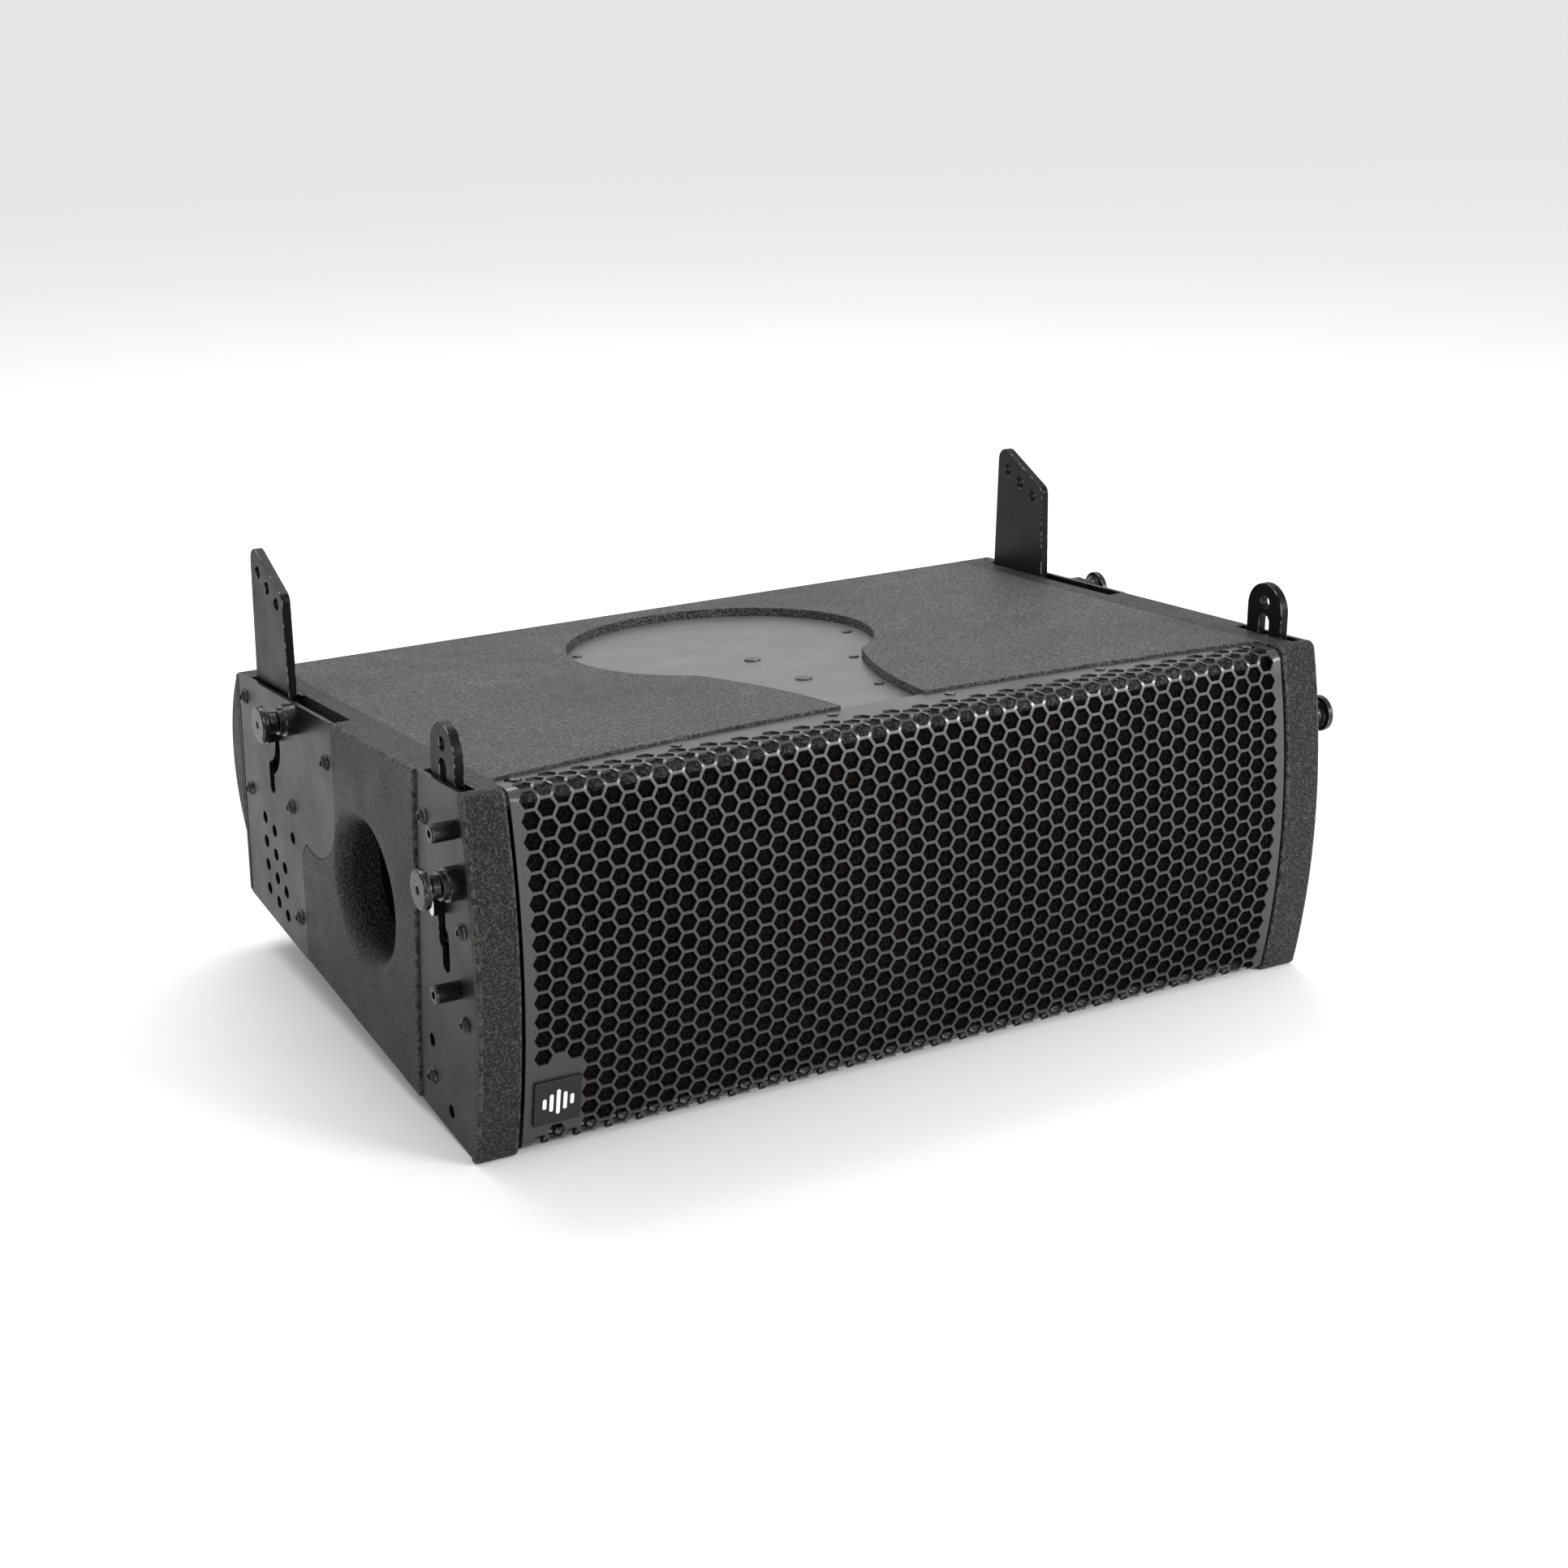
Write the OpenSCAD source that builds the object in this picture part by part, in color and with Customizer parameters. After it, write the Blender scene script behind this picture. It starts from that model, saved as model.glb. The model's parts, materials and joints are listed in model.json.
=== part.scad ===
// Compact line array loudspeaker module: a wedge cabinet with a bowed, perforated front,
// four captive rigging links and two 7 inch woofers beside a high-frequency waveguide.
// X runs to the right as seen from the front, Y to the rear and Z up. The cabinet is symmetric
// about its horizontal mid-plane; the origin is under the middle of the cabinet at its lowest edge.

/* [Cabinet] */
// Width over the side panels
cab_w = 600; // [580:5:680]
// Depth from the front face to the rear panel
cab_d = 400; // [396:1:410]
// Height of the wedge at its front, before the corners are rounded
front_h = 232; // [230:1:240]
// Taper of the top and of the bottom towards the rear, in degrees
taper = 5.3; // [5:0.1:5.6]
// Radius of the bowed front, seen from the side
bow_r = 480; // [460:10:600]
// Radius of the rounded front corners, seen from the side
corner_r = 6; // [4:1:16]
// Thickness of the side panels
side_t = 27; // [26:1:30]
// Thickness of the top, bottom and rear panels
panel_t = 18; // [17:1:20]
// How far the rear bumpers stand out behind the rear panel
bumper_d = 20; // [12:1:24]
// Width of each rear bumper
bumper_w = 52; // [40:1:60]

/* [Top recess] */
// Depth of the recess in the top panel, down to its steel plate
recess_depth = 6; // [5:0.5:8]
// Radius of the round end of the recess
recess_r = 105; // [95:1:110]
// Width of the recess where it meets the grille flange
recess_neck_w = 59; // [52:1:64]

/* [Grille] */
// Thickness of the grille sheet
grille_t = 1.5; // [1.2:0.1:2]
// Width of the grille
grille_w = 542; // [536:1:543]
// Depth of the top flange at its middle, from the front face
flange_mid_y = 60; // [59:1:64]
// Depth of the top flange at its ends, from the front face
flange_end_y = 39; // [38:1:42]
// Side of the square badge
badge_w = 30; // [24:1:34]

/* [Rigging] */
// Thickness of the outer rigging plates
plate_t = 3; // [2.5:0.5:3]
// Thickness of the links
link_t = 6; // [5:0.5:6]
// Radius of the holes that take the locking pins
pin_hole_r = 4.2; // [4:0.1:4.5]
// Travel of the front links between raised and stowed
front_link_travel = 34; // [30:1:34]
// Travel of the pull knobs
knob_travel = 8; // [6:1:8]
// Travel of the small index plungers
index_travel = 5; // [3:1:5]

/* [Side port] */
// Clear radius of the side ports
port_r = 42; // [36:1:44]
// Radius of the rounded lip of the side ports
port_lip_r = 12; // [8:1:12]
// Length of the port tubes inside the cabinet
port_tube_l = 70; // [50:5:80]

/* [Drivers] */
// Radius of the woofer frames
woofer_r = 92; // [88:1:92]
// Distance of each woofer from the middle of the cabinet
woofer_x = 168; // [166:1:172]
// Travel of the woofer cones to each side of rest
cone_travel = 4; // [2:1:5]

/* [Hidden] */

$fn = 64;
eps = 0.01;
far = 400;

paint = "#55534f";
steel = "#46484b";
satin = "#8f8d8b";
blacked = "#1b1b1c";
bare = "#c9cacc";
ply = "#b08d5e";

// Wedge: half height at a depth y, and the slope of the top and bottom
slope = tan(taper);
function half_h(y) = front_h / 2 - y * slope;

// Centre of a circle in a lower front corner that touches the bowed front and the bottom line.
// h is the half height at the front, b the bow radius, r the corner radius, y0 the front's inset.
function corner_a(h, r) = -h + r * sqrt(1 + slope * slope);
function corner_b(h, b, r, y0) = 2 * (corner_a(h, r) * slope - (b + y0));
function corner_c(h, b, r, y0) = pow(b + y0, 2) + pow(corner_a(h, r), 2) - pow(b - r, 2);
function corner_root(h, b, r, y0) =
    sqrt(pow(corner_b(h, b, r, y0), 2) - 4 * (1 + slope * slope) * corner_c(h, b, r, y0));
function corner_y(h, b, r, y0) =
    (-corner_b(h, b, r, y0) - corner_root(h, b, r, y0)) / (2 * (1 + slope * slope));
function corner_touch(h, b, r, y0) =
    [corner_y(h, b, r, y0), corner_a(h, r) + slope * corner_y(h, b, r, y0)];

// A rounding reaches this far over the faces that it joins, so that they cross at a clear angle
cross = 0.02;
function corner_at(h, b, r, y0) = corner_touch(h, b, r - cross, y0);

// The lowest point of the cabinet is the foot of the lower corner's rounding
low_z = corner_at(front_h / 2, bow_r, corner_r, 0)[1] - corner_r;
total_d = cab_d + bumper_d;
side_x = cab_w / 2;
inner_x = side_x - side_t;

// Rigging: depths below the side face, positive inwards
front_plate_sink = 2;
rear_plate_sink = 0.3;
link_out = 5.7;
channel_floor = 12.4;
channel_plate_t = 2;
channel_depth = channel_floor + channel_plate_t;
// Depth of the pockets that clear a pin's end behind the parking holes
pin_pocket_depth = 12;
nose_gap = 0.4;

// Rigging: places in the side view, [y, z] from the front face and the mid-plane
front_link_y = 53;
front_link_r = 17.5;
front_link_top = 145;
front_link_foot = 10;
front_pin_at = [front_link_y, 132.5];
front_window = [100, 119];
front_window_r = 5;
front_stud_at = [front_link_y, 36];
stack_pitch = -2 * low_z;
front_receiver_hole = [front_link_y, front_pin_at[1] - stack_pitch];
front_spare_hole = [79, -60];
rear_pivot = [346, 50];
rear_pivot_r = 5;
rear_stud_r = 3.6;
rear_stud_at = [rear_pivot[0] - 20, rear_pivot[1] + 6];
rear_link_holes = [[326, 144.5], [342.5, 151], [359, 157.5]];
rear_link_corners = [[363, 163, 9], [320, 148, 6], [318, 40, 8], [368, 40, 8]];
front_knob_at = [28, 58];
rear_knob_at = [288, 79];
upper_index_at = [31, 89];
lower_index_at = [35.5, -11];
splay_pitch = 17;
splay_columns = [[360, -11.5, 4], [342.5, -15.5, 4], [326, -36.5, 3]];
stow_hole = [306, -8.5];
splay_places = concat([stow_hole], [
    for (c = splay_columns) for (i = [0 : c[2] - 1]) [c[0], c[1] - i * splay_pitch]
]);
running = 0.05;
plunger_r = 4;

// Screws in the rigging plates: [y, z, length below the head]; those over a link's path are short
wood_screw = 12;
plate_screw = plate_t;
front_screws = [[77, 82, wood_screw], [25, 29, wood_screw], [25, -29, wood_screw], [80, -84, wood_screw]];
rear_screws = [
    [386, 66, wood_screw], [234, 66, plate_screw], [386, 1, wood_screw], [304, 14, plate_screw],
    [300, -62, wood_screw]
];
shank_r = 3;
head_r = 5.25;
head_h = 3.3;

port_y = 176;
recess_y = 276;
socket_x = 32;
board_w = 140;
connector_w = 150;
connector_h = 90;

// ---- Placing -------------------------------------------------------------------------------

// From the cabinet's own frame (front face at y = 0, mid-plane at z = 0) to the part's frame
module placed() {
    translate([0, -total_d / 2, -low_z]) children();
}

// The left side is modelled, and the right side is its mirror image
module on_side(side) {
    placed() mirror([side == "right" ? 1 : 0, 0, 0]) children();
}

// A side-view outline, drawn in [y, z], as a slab between two depths below the left side face
module slab(from, to) {
    translate([from - side_x, 0, 0]) rotate([90, 0, 90]) linear_extrude(to - from) children();
}

// A round bar along X between two depths below the left side face
module bar(at, r, from, to) {
    translate([from - side_x, at[0], at[1]]) rotate([0, 90, 0]) cylinder(h = to - from, r = r);
}

// The plane of the top panel's outer face: y along the slope, z outwards
module on_top() {
    translate([0, 0, front_h / 2]) rotate([-taper, 0, 0]) children();
}

// ---- Outlines in the side view -------------------------------------------------------------

// What the rounding takes off a lower front corner
module corner_cut(h, b, r, y0) {
    c = corner_at(h, b, r, y0);
    away = (c - [b + y0, 0]) / norm(c - [b + y0, 0]);
    down = [sin(taper), -cos(taper)];
    reach = 60;
    difference() {
        polygon([c, c + away * reach, c + [-reach, -reach], c + down * reach]);
        translate(c) circle(r, $fn = 96);
    }
}

// The wedge with a bowed front and rounded front corners
module wedge_outline(h = front_h / 2, b = bow_r, r = corner_r, y0 = 0) {
    difference() {
        intersection() {
            polygon([
                [-far, -h - far * slope], [cab_d, cab_d * slope - h],
                [cab_d, h - cab_d * slope], [-far, h + far * slope]
            ]);
            translate([b + y0, 0]) circle(b, $fn = 360);
        }
        corner_cut(h, b, r, y0);
        mirror([0, 1]) corner_cut(h, b, r, y0);
    }
}

// Front rigging plate: it follows the bow just behind the front face
module front_plate_outline(gap = 0) {
    intersection() {
        wedge_outline();
        translate([bow_r + 7 - gap, 0]) circle(bow_r, $fn = 360);
        polygon([[-far, -far], [100 + gap, -far], [100 + gap, -110], [85 + gap, 110], [85 + gap, far],
            [-far, far]]);
    }
}

// Rear rigging plate: a narrow lower part under a lobe that covers the stowed link
module rear_plate_outline(gap = 0) {
    rear_y = cab_d - 1 + gap;
    lobe_r = 42 - gap;
    neck_r = 22 + gap;
    intersection() {
        wedge_outline();
        union() {
            translate([289 - gap, -far]) square([rear_y - 289 + gap, 2 * far]);
            translate([222 - gap, 36]) square([120, far]);
            translate([264, 36]) circle(264 - 222 + gap);
            difference() {
                translate([264, -22]) square([60, 60]);
                translate([289 - gap - neck_r, -22]) circle(neck_r - 2 * gap);
            }
        }
    }
}

// Hollow of the front link, open at the top and at the bottom
module front_channel_outline(gap = 0) {
    mouth_z = 98;
    translate([33 + gap, -far]) square([40 - 2 * gap, 2 * far]);
    translate([22 + gap, mouth_z + gap]) square([60 - 2 * gap, far]);
}

// Hollow of the rear link: it stands in it, folds forward into it, and the link of the
// module below enters it from underneath
module rear_channel_outline() {
    polygon([[222, far], [222, 34], [232, 14], [306, 10], [306, -far], [380, -far], [380, far]]);
}

module splay_holes(from, to) {
    for (p = splay_places) bar(p, pin_hole_r, from, to);
}

// Upright slot with round ends
module upright_slot(y, low, high, w) {
    translate([y, low + w / 2]) circle(w / 2);
    translate([y, high - w / 2]) circle(w / 2);
    translate([y - w / 2, low + w / 2]) square([w, high - low - w]);
}

// ---- Cabinet -------------------------------------------------------------------------------

module port_hole(from, to) {
    bar([port_y, 0], port_r, from, to);
    translate([-side_x, port_y, 0]) rotate([0, 90, 0]) rotate_extrude($fn = 96) difference() {
        translate([0, -eps]) square([port_r + port_lip_r, port_lip_r + eps]);
        translate([port_r + port_lip_r, port_lip_r]) circle(port_lip_r);
    }
}

module side_panel(side) {
    color(paint) on_side(side) difference() {
        slab(0, side_t) wedge_outline();
        slab(-eps, front_plate_sink + plate_t) front_plate_outline(0.4);
        slab(-eps, rear_plate_sink + plate_t) rear_plate_outline(0.4);
        slab(front_plate_sink + plate_t, channel_depth) front_channel_outline();
        slab(rear_plate_sink + plate_t, channel_depth) rear_channel_outline();
        port_hole(-1, side_t + 1);
        for (p = concat(front_screws, rear_screws)) bar(p, shank_r + running, 0, channel_depth);
        for (p = [front_knob_at, rear_knob_at, upper_index_at, lower_index_at])
            bar(p, plunger_r + running, 0, link_out);
        for (p = [front_spare_hole, stow_hole])
            slab(0, pin_pocket_depth) translate(p) square(2 * pin_hole_r + 3, center = true);
    }
}

module recess_outline(gap = 0) {
    flare_r = 370;
    flare_y = 40;
    neck = recess_neck_w / 2;
    translate([0, recess_y]) circle(recess_r - gap, $fn = 128);
    difference() {
        translate([gap - recess_r, flare_y + 16]) square([2 * (recess_r - gap), recess_y - flare_y - 16]);
        for (s = [-1, 1])
            translate([s * (neck + flare_r), flare_y]) circle(flare_r + gap, $fn = 360);
    }
}

// The step in the top panel that the grille's flange lies in
module flange_outline(gap = 0) {
    sag = flange_mid_y - flange_end_y;
    flange_r = (pow(grille_w / 2, 2) + sag * sag) / (2 * sag);
    intersection() {
        translate([0, flange_mid_y + gap - flange_r]) circle(flange_r, $fn = 720);
        translate([-grille_w / 2 - gap, -20]) square([grille_w + 2 * gap, 120]);
    }
}

// Places of the screws in the recess plate: [x, y] on the top face
recess_small_screws = [
    [-88, 318], [-93, 264], [93, 264], [-57.5, 194], [57.5, 194], [-30.5, 116.5], [30.5, 116.5]
];
recess_large_screws = [[0, 230], [0, 160]];
flange_screws = [[-259, 33], [-151, 44.5], [-42, 50], [42, 50], [151, 44.5], [259, 33]];
small_r = 3.4;
small_hole_r = 1.8;
large_r = 5.5;
large_hole_r = 2.8;
flange_step = 3.5;
panel_front_y = 28.5;

// The top or bottom panel before its recess, with the step for the grille's flange
module shell_panel() {
    translate([-inner_x, 0, 0]) rotate([90, 0, 90]) linear_extrude(2 * inner_x) intersection() {
        wedge_outline();
        difference() {
            translate([panel_front_y, 0]) square([cab_d - panel_front_y, far]);
            polygon([
                [-far, 0], [far * 2, 0],
                [far * 2, half_h(far * 2) - panel_t], [-far, half_h(-far) - panel_t]
            ]);
        }
    }
}

module flange_seat() {
    translate([0, 0, -flange_step]) linear_extrude(20) flange_outline(0.6);
    screw_holes(flange_screws, small_hole_r, -10);
}

module screw_holes(places, r, z) {
    for (p = places) translate([p[0], p[1], z]) cylinder(h = 20, r = r);
}

module top_panel() {
    color(paint) placed() difference() {
        shell_panel();
        on_top() {
            flange_seat();
            translate([0, 0, -recess_depth - plate_sheet]) linear_extrude(20) recess_outline();
            screw_holes(recess_small_screws, small_hole_r, -recess_depth - 6);
            screw_holes(recess_large_screws, large_hole_r, -recess_depth - 6);
        }
    }
}

module bottom_panel() {
    color(paint) placed() mirror([0, 0, 1]) difference() {
        shell_panel();
        on_top() flange_seat();
    }
}

module rear_panel() {
    z = half_h(cab_d - panel_t) - panel_t - 0.2;
    z_rear = half_h(cab_d) - panel_t - 0.2;
    color(paint) placed() difference() {
        translate([-inner_x, 0, 0]) rotate([90, 0, 90]) linear_extrude(2 * inner_x)
            polygon([[cab_d - panel_t, -z], [cab_d, -z_rear], [cab_d, z_rear], [cab_d - panel_t, z]]);
        translate([-connector_w / 2 - 0.3, cab_d - 2, -connector_h / 2 - 0.3])
            cube([connector_w + 0.6, 3, connector_h + 0.6]);
        translate([-connector_w / 2 + 12, cab_d - 40, -connector_h / 2 + 12])
            cube([connector_w - 24, 50, connector_h - 24]);
    }
}

module rear_bumper(side) {
    half = 59;
    r = (half * half + bumper_d * bumper_d) / (2 * bumper_d);
    color(paint) on_side(side) slab(0, bumper_w) intersection() {
        translate([cab_d + bumper_d - r, 19.5]) circle(r, $fn = 180);
        translate([cab_d, -far]) square([far, 2 * far]);
    }
}

baffle_y = 40;
baffle_t = 15;
horn_w = 100;
horn_h = 168;

module front_baffle() {
    z = half_h(baffle_y + baffle_t) - panel_t - 0.2;
    color(ply) placed() difference() {
        translate([-inner_x + 0.1, baffle_y, -z]) cube([2 * inner_x - 0.2, baffle_t, 2 * z]);
        for (s = [-1, 1])
            translate([s * woofer_x, baffle_y - 1, 0]) rotate([-90, 0, 0])
                cylinder(h = baffle_t + 2, r = woofer_r - 12, $fn = 128);
        translate([-horn_w / 2 - 1, baffle_y - 1, -horn_h / 2 - 1])
            cube([horn_w + 2, baffle_t + 2, horn_h + 2]);
        for (s = [-1, 1])
            driver_screw_places(s) cylinder(h = 12, r = 2.1);
    }
}

// ---- Top recess ----------------------------------------------------------------------------

plate_sheet = 1.5;

module recess_plate() {
    color(satin) placed() on_top() difference() {
        translate([0, 0, -recess_depth - plate_sheet + 0.02]) linear_extrude(plate_sheet - 0.02)
            recess_outline(0.4);
        screw_holes(recess_small_screws, small_hole_r, -20);
        screw_holes(recess_large_screws, large_hole_r, -20);
    }
}

module flat_screw(r, hole_r) {
    cylinder(h = 0.9, r = r);
    translate([0, 0, -4]) cylinder(h = 4 + eps, r = hole_r - 0.1);
}

module recess_screws() {
    color(blacked) placed() on_top() translate([0, 0, -recess_depth]) {
        for (p = recess_small_screws) translate(p) flat_screw(small_r, small_hole_r);
        for (p = recess_large_screws) translate(p) flat_screw(large_r, large_hole_r);
    }
}

// ---- Grille --------------------------------------------------------------------------------

grille_sink = 2;
grille_y = 1;

bend_r = corner_r + 2;

// Outline of the grille's outer face, or of a face at a depth below it
module grille_outline(depth = 0) {
    wedge_outline(front_h / 2 - grille_sink - depth, bow_r - depth, bend_r - depth, grille_y + depth);
}

module front_grille() {
    color(blacked) placed() difference() {
        intersection() {
            translate([-grille_w / 2, 0, 0]) rotate([90, 0, 90]) linear_extrude(grille_w) difference() {
                grille_outline();
                grille_outline(grille_t);
            }
            translate([0, 0, -far]) linear_extrude(2 * far) flange_outline();
        }
        for (m = [0, 1]) mirror([0, 0, m]) on_top() screw_holes(flange_screws, small_hole_r, -10);
    }
}

module grille_screws() {
    flange_top = -grille_sink * cos(taper) + eps;
    color(blacked) placed() for (m = [0, 1]) mirror([0, 0, m])
        on_top() for (p = flange_screws)
            translate([p[0], p[1], flange_top]) flat_screw(small_r, small_hole_r);
}

module grille_foam() {
    foam_t = 4;
    foam_half_h = 102;
    color("#1e1e1f") placed()
        translate([-grille_w / 2 + 6, 0, 0]) rotate([90, 0, 90]) linear_extrude(grille_w - 12)
            intersection() {
                difference() {
                    translate([bow_r + 3, 0]) circle(bow_r, $fn = 360);
                    translate([bow_r + 3 + foam_t, 0]) circle(bow_r, $fn = 360);
                }
                translate([0, -foam_half_h]) square([40, 2 * foam_half_h]);
            }
}

badge_x = -250.5;
badge_z = -80;
badge_t = 2;

module grille_badge() {
    tilt = asin(badge_z / bow_r);
    face_y = bow_r + grille_y - sqrt(pow(bow_r, 2) - pow(badge_z, 2));
    color("#101011") placed() translate([badge_x, face_y, badge_z]) rotate([-tilt, 0, 0])
        translate([-badge_w / 2, -badge_t - 0.02, -badge_w / 2]) cube([badge_w, badge_t, badge_w]);
}

// ---- Side ports ----------------------------------------------------------------------------

module port_tube(side) {
    wall = 2.5;
    flange = 10;
    color(blacked) on_side(side)
        translate([-inner_x, port_y, 0]) rotate([0, 90, 0]) difference() {
            union() {
                cylinder(h = 4, r = port_r + flange);
                cylinder(h = port_tube_l, r = port_r + wall, $fn = 96);
            }
            translate([0, 0, -1]) cylinder(h = port_tube_l + 2, r = port_r, $fn = 96);
        }
}

// ---- Rigging plates and screws -------------------------------------------------------------

module front_plate(side) {
    top_slot_y = front_link_y + 2;
    low_slot_y = front_link_y - 2;
    slot_w = 10.5;
    color(steel) on_side(side) difference() {
        slab(front_plate_sink, front_plate_sink + plate_t) front_plate_outline();
        slab(0, 9) upright_slot(top_slot_y, 8, 46, slot_w);
        slab(0, 9) upright_slot(low_slot_y, -6, 22, slot_w);
        bar(front_receiver_hole, pin_hole_r, 0, 9);
        bar(front_spare_hole, pin_hole_r, 0, 9);
        for (p = [front_knob_at, upper_index_at, lower_index_at]) bar(p, plunger_r + running, 0, 9);
        for (p = front_screws) bar(p, shank_r + running, 0, 9);
    }
}

// Slot of the rear link's stud: an arc about the pivot, run out downwards
module stud_slot() {
    reach = norm(rear_stud_at - rear_pivot);
    start = atan2(rear_stud_at[1] - rear_pivot[1], rear_stud_at[0] - rear_pivot[0]);
    half_w = rear_stud_r + 0.8;
    translate(rear_pivot) {
        difference() {
            intersection() {
                circle(reach + half_w);
                polygon([
                    [0, 0], 60 * [cos(start), sin(start)], 60 * [cos(start + 45), sin(start + 45)],
                    60 * [cos(start + 90), sin(start + 90)]
                ]);
            }
            circle(reach - half_w);
        }
        for (a = [start, start + 90]) rotate(a) translate([reach, 0]) circle(half_w + cross);
    }
    low_end = rear_pivot + reach * [cos(start + 90), sin(start + 90)];
    upright_slot(low_end[0], low_end[1] - 18, low_end[1] + half_w, 2 * half_w);
}

module rear_plate(side) {
    color(steel) on_side(side) difference() {
        slab(rear_plate_sink, rear_plate_sink + plate_t) rear_plate_outline();
        slab(0, 9) stud_slot();
        splay_holes(0, 9);
        bar(rear_pivot, rear_pivot_r + running, 0, 9);
        bar(rear_knob_at, plunger_r + running, 0, 9);
        for (p = rear_screws) bar(p, shank_r + running, 0, 9);
    }
}

module front_channel_plate(side) {
    color(steel) on_side(side) difference() {
        slab(channel_floor, channel_depth - 0.1) intersection() {
            wedge_outline();
            front_channel_outline(0.3);
        }
        bar(front_receiver_hole, pin_hole_r, 0, 19);
    }
}

module rear_channel_plate(side) {
    color(steel) on_side(side) difference() {
        slab(channel_floor, channel_depth - 0.1) intersection() {
            wedge_outline();
            translate([306.3, -far]) square([73.4, 2 * far]);
        }
        splay_holes(0, 19);
        bar(rear_pivot, rear_pivot_r + running, 0, 19);
    }
}

// Button head screw through a plate: its head lies on the plate
module button_screw(at, sink) {
    translate([sink - side_x, at[0], at[1]]) rotate([0, 90, 0]) difference() {
        union() {
            translate([0, 0, -head_h]) intersection() {
                cylinder(h = head_h, r = head_r);
                translate([0, 0, 5.9]) sphere(r = 5.9 + 0.2, $fn = 48);
            }
            translate([0, 0, -eps]) cylinder(h = at[2] + eps, r = shank_r);
        }
        translate([0, 0, -head_h - 1]) cylinder(h = 2.6, r = 2.3, $fn = 6);
    }
}

module front_plate_screws(side) {
    color(blacked) on_side(side) for (p = front_screws) button_screw(p, front_plate_sink);
}

module rear_plate_screws(side) {
    color(blacked) on_side(side) for (p = rear_screws) button_screw(p, rear_plate_sink);
}

// ---- Links ---------------------------------------------------------------------------------

module front_link(side) {
    stud_w = 6;
    stud_h = 12;
    color(steel) on_side(side) {
        difference() {
            slab(link_out, link_out + link_t) {
                translate([front_link_y, front_link_top - front_link_r]) circle(front_link_r);
                translate([front_link_y - front_link_r, front_link_foot])
                    square([2 * front_link_r, front_link_top - front_link_r - front_link_foot]);
            }
            bar(front_pin_at, pin_hole_r, 0, 19);
            slab(0, 19) upright_slot(front_link_y, front_window[0] - front_window_r,
                front_window[1] + front_window_r, 2 * front_window_r);
        }
        slab(-5, link_out + eps) {
            upright_slot(front_stud_at[0], front_stud_at[1] - stud_h / 2,
                front_stud_at[1] + stud_h / 2, stud_w);
        }
    }
}

module rear_link(side) {
    color(steel) on_side(side) {
        difference() {
            slab(link_out, link_out + link_t) hull()
                for (c = rear_link_corners) translate([c[0], c[1]]) circle(c[2], $fn = 32);
            for (p = rear_link_holes) bar(p, pin_hole_r, 0, 19);
            bar(rear_pivot, rear_pivot_r + running, 0, 19);
        }
        bar(rear_stud_at, rear_stud_r, -7, link_out + eps);
    }
}

module rear_pivot_pin(side) {
    color(bare) on_side(side)
        bar(rear_pivot, rear_pivot_r, rear_plate_sink, channel_depth - 0.1);
}

// ---- Pull knobs and index plungers ---------------------------------------------------------

// Profile along the plunger's axis: z is the height above the plate
module knob_housing(side, at, sink) {
    color(blacked) on_side(side)
        translate([sink - side_x, at[0], at[1]]) rotate([0, -90, 0]) difference() {
            union() {
                translate([0, 0, 0.02]) cylinder(h = 8, r = 10.2);
                translate([0, 0, 8]) cylinder(h = 4, r = 8.5);
            }
            translate([0, 0, -1]) cylinder(h = 20, r = plunger_r + running);
        }
}

module knob(side, at, sink) {
    nose = link_out - sink - nose_gap;
    color(blacked) on_side(side)
        translate([sink - side_x, at[0], at[1]]) rotate([0, -90, 0]) difference() {
            rotate_extrude() polygon([
                [0, -nose], [plunger_r, -nose], [plunger_r, 12.4], [6.8, 12.4], [6.8, 17], [9, 19.2],
                [12, 20], [12, 23.4], [10.8, 24.5], [0, 24.5]
            ]);
            translate([0, 0, 23.2]) cylinder(h = 3, r = 2.5);
        }
}

module front_knob(side) {
    knob(side, front_knob_at, front_plate_sink);
}

module rear_knob(side) {
    knob(side, rear_knob_at, rear_plate_sink);
}

module index_plunger(side, at) {
    nose = link_out - front_plate_sink - nose_gap;
    color(blacked) on_side(side)
        translate([front_plate_sink - side_x, at[0], at[1]]) rotate([0, -90, 0]) difference() {
            rotate_extrude() polygon([
                [0, -nose], [plunger_r, -nose], [plunger_r, 0.4], [5.6, 0.4], [5.6, 14], [4.9, 15],
                [0, 15]
            ]);
            translate([0, 0, 12]) cylinder(h = 4, r = 2.4);
        }
}

// ---- Drivers -------------------------------------------------------------------------------

// The driver's own frame: z to the rear from the baffle's front face, at side s = -1 or 1
module at_woofer(side) {
    placed() translate([(side == "left" ? -1 : 1) * woofer_x, baffle_y, 0])
        rotate([-90, 0, 0]) children();
}

module driver_screw_places(s) {
    translate([s * woofer_x, baffle_y, 0]) rotate([-90, 0, 0])
        for (a = [22.5 : 45 : 360]) rotate(a) translate([woofer_r - 5.5, 0, 0]) children();
    for (z = [-1, 0, 1])
        translate([s * (horn_w / 2 + 5), baffle_y, z * 70]) rotate([-90, 0, 0]) children();
}

frame_t = 5;
cone_edge_r = 68;
cone_neck_r = 19;

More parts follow.
